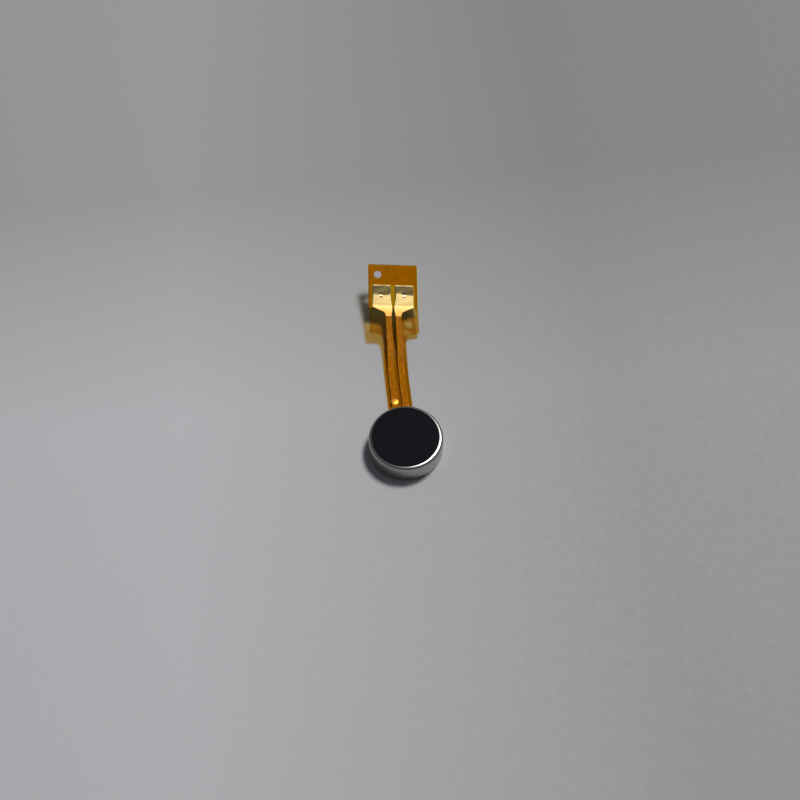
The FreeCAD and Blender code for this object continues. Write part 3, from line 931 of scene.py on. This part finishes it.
def pad_relief(side):
    """Height of a contact pad's gold: a soft crease across it, a probe dent and rolled edges."""
    loop = track_outline(side, plated=True)
    dent = (-1.75, 6.1) if side < 0 else (1.62, 6.12)

    def height(s, u):
        d = edge_distance(s, u, loop)
        crease = CREASE_U + 0.15 * np.sin(1.3 * s + 0.6)
        rise = CREASE_RISE * (np.sqrt(np.maximum(u - crease, 0) ** 2 + 0.03) - 0.173)
        r2 = ((s - dent[0]) / 0.24) ** 2 + ((u - dent[1]) / 0.12) ** 2
        r3 = ((s - dent[0] - 0.05) / 0.14) ** 2 + ((u - dent[1] + 0.3) / 0.1) ** 2
        marks = DENT_RIM * np.exp(-r3) - DENT_DEPTH * np.exp(-r2)
        uneven = 0.0015 * (np.sin(2.3 * s + 1.1 * u) + np.sin(3.7 * u - 1.9 * s))
        border = 1 - np.exp(-((d / 0.05) ** 2))
        return PLATE_HIGH + rise + (EDGE_ROLL + uneven) * border + marks

    return height


for side, word in ((-1, "left"), (1, "right")):
    high = pad_relief(side)
    low = lambda s, u, high=high: np.minimum(high(s, u) - LEAST_PLATING, PLATE_LOW)
    gold = layer(f"gold_contact_{word}", track_outline(side, plated=True), [], low, high, 0.1)
    finish_piece(gold, "gold_plate", "tail_end", f"contact_pad_{word}")


def spot_dome(s, u):
    r = np.hypot(s + TRACK_X, u - u_at(TEST_Y))
    return PLATE_HIGH + SPOT_DOME * np.clip(1 - (r / SPOT_R) ** 2, 0, 1)


spot = layer("test_spot", circle(-TRACK_X, u_at(TEST_Y), SPOT_R, 36), [], PLATE_LOW, spot_dome, 0.09)
spot.data.materials.append(foil("gold_spot", (1.0, 0.45, 0.06), (0.92, 0.38, 0.04), 0.4, 3e-6))
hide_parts("test_land")
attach(spot, "motor")

# The stiffener was stuck on a little to the right of the film's edge.
bonded = rounded(-HEAD_HALF, HEAD_HALF, STIFF_NEAR, HEAD_LEN, 0.05, 3)
shifted = rounded(-HEAD_HALF + STIFF_SHIFT, HEAD_HALF + STIFF_SHIFT, STIFF_NEAR, HEAD_LEN, 0.08, 4)
glue = layer("stiffener_bond", bonded, [locating[0]], GLUE_LOW, -LAYER_GAP, 0.4)
finish_piece(glue, "sheet_glue", "tail_end", "stiffener_glue")
stiff = layer("stiffener_plate", shifted, [locating[0]], STIFF_LOW, GLUE_LOW - LAYER_GAP, 0.4)
finish_piece(stiff, "stiffener_sheet", "tail_end", "stiffener")

# ---------------------------------------------------------------- inner CAD pieces keep their shape

slots = {p["node"]: p["material_slot"] for p in frame["record"]["subparts"]}
for name, node in frame["nodes"].items():
    if node.hide_render:
        continue
    node.data.materials.clear()
    node.data.materials.append(LOOKS[slots[name]])

# ---------------------------------------------------------------- floor, light, camera

floor_look = Nodes("pale_floor")
cloud = floor_look.noise(14.0, 3.0, 0.5)
fibre = floor_look.noise(900.0, 3.0, 0.6)
paper = floor_look.add("ShaderNodeBsdfPrincipled")
place = floor_look.add("ShaderNodeSeparateXYZ")
floor_look.put(place.inputs[0], floor_look.add("ShaderNodeTexCoord").outputs["Object"])
# Painted shade: the floor's colour is painted darker towards the right and towards the back, standing in for light
# falling off across it, on top of its random mottle.
painted_falloff_right = floor_look.spread(place.outputs[0], 0, 1, -0.03, 0.03)
near = floor_look.blend(cloud, rgb(0.575, 0.58, 0.615), rgb(0.59, 0.595, 0.63))
near = floor_look.blend(painted_falloff_right, near, rgb(0.365, 0.37, 0.38))
far = floor_look.blend(painted_falloff_right, rgb(0.36, 0.36, 0.37), rgb(0.24, 0.24, 0.245))
painted_falloff_back = floor_look.spread(place.outputs[1], 0, 0.8, 0.008, 0.05)
floor_look.put(paper.inputs["Base Color"], floor_look.blend(painted_falloff_back, near, far))
floor_look.put(paper.inputs["Roughness"], floor_look.spread(fibre, 0.62, 0.74))
floor_look.put(paper.inputs["Normal"], floor_look.bump(fibre, 2e-5))
half = 0.6
corners = [(-half, -half, 0), (half, -half, 0), (half, half, 0), (-half, half, 0)]
mesh = bpy.data.meshes.new("floor")
mesh.from_pydata(corners, [], [(0, 1, 2, 3)])
floor = bpy.data.objects.new("floor", mesh)
bpy.context.scene.collection.objects.link(floor)
mesh.materials.append(floor_look.done(paper))

# Light has to pass many film faces on its way down to the stiffener and back.
bpy.context.scene.cycles.transparent_max_bounces = FILM_PASSES

world = bpy.data.worlds.new("studio")
bpy.context.scene.world = world
world.use_nodes = True
sky = world.node_tree.nodes["Background"]
sky.inputs["Color"].default_value = rgb(0.80, 0.83, 0.9)
sky.inputs["Strength"].default_value = 0.11
bpy.context.scene.view_settings.view_transform = "Standard"


def softbox(name, direction, distance, size, power, colour):
    """A rectangular light that faces the middle of the object from a direction."""
    data = bpy.data.lights.new(name, "AREA")
    data.shape = "RECTANGLE"
    data.size, data.size_y = size
    data.energy = power
    data.color = colour
    lamp = bpy.data.objects.new(name, data)
    aim = Vector((0, 0.008, 0))
    way = Vector(direction).normalized()
    lamp.location = aim + way * distance
    lamp.rotation_euler = way.to_track_quat("Z", "Y").to_euler()
    bpy.context.scene.collection.objects.link(lamp)


softbox("key", (0.326, 0.293, 0.899), 0.8, (0.17, 0.17), 4.5, (1.0, 0.985, 0.96))
softbox("overhead", (0.34, 0.0, 0.94), 0.4, (0.1, 0.105), 0.031, (1.0, 0.99, 0.96))

# Camera: azimuth and elevation in degrees, distance in metres, and the scale in the frame's
# pixels per millimetre at the point it aims at.
AZIMUTH, ELEVATION, DISTANCE, SCALE = -6.2, 57.2, 0.150, 7.17
FRAME_WIDTH, SENSOR = 800.0, 36.0
camera_data = bpy.data.cameras.new("camera")
camera = bpy.data.objects.new("camera", camera_data)
bpy.context.scene.collection.objects.link(camera)
aim = Vector((0.04, 7.8, 0.0)) * MM
az, el = math.radians(AZIMUTH), math.radians(ELEVATION)
towards = Vector((math.sin(az) * math.cos(el), -math.cos(az) * math.cos(el), math.sin(el)))
camera.location = aim + towards * DISTANCE
camera.rotation_euler = towards.to_track_quat("Z", "Y").to_euler()
camera_data.sensor_width = SENSOR
camera_data.lens = SENSOR * SCALE * (DISTANCE / MM) / FRAME_WIDTH
camera_data.clip_start = 0.005
camera_data.clip_end = 10.0
bpy.context.scene.camera = camera
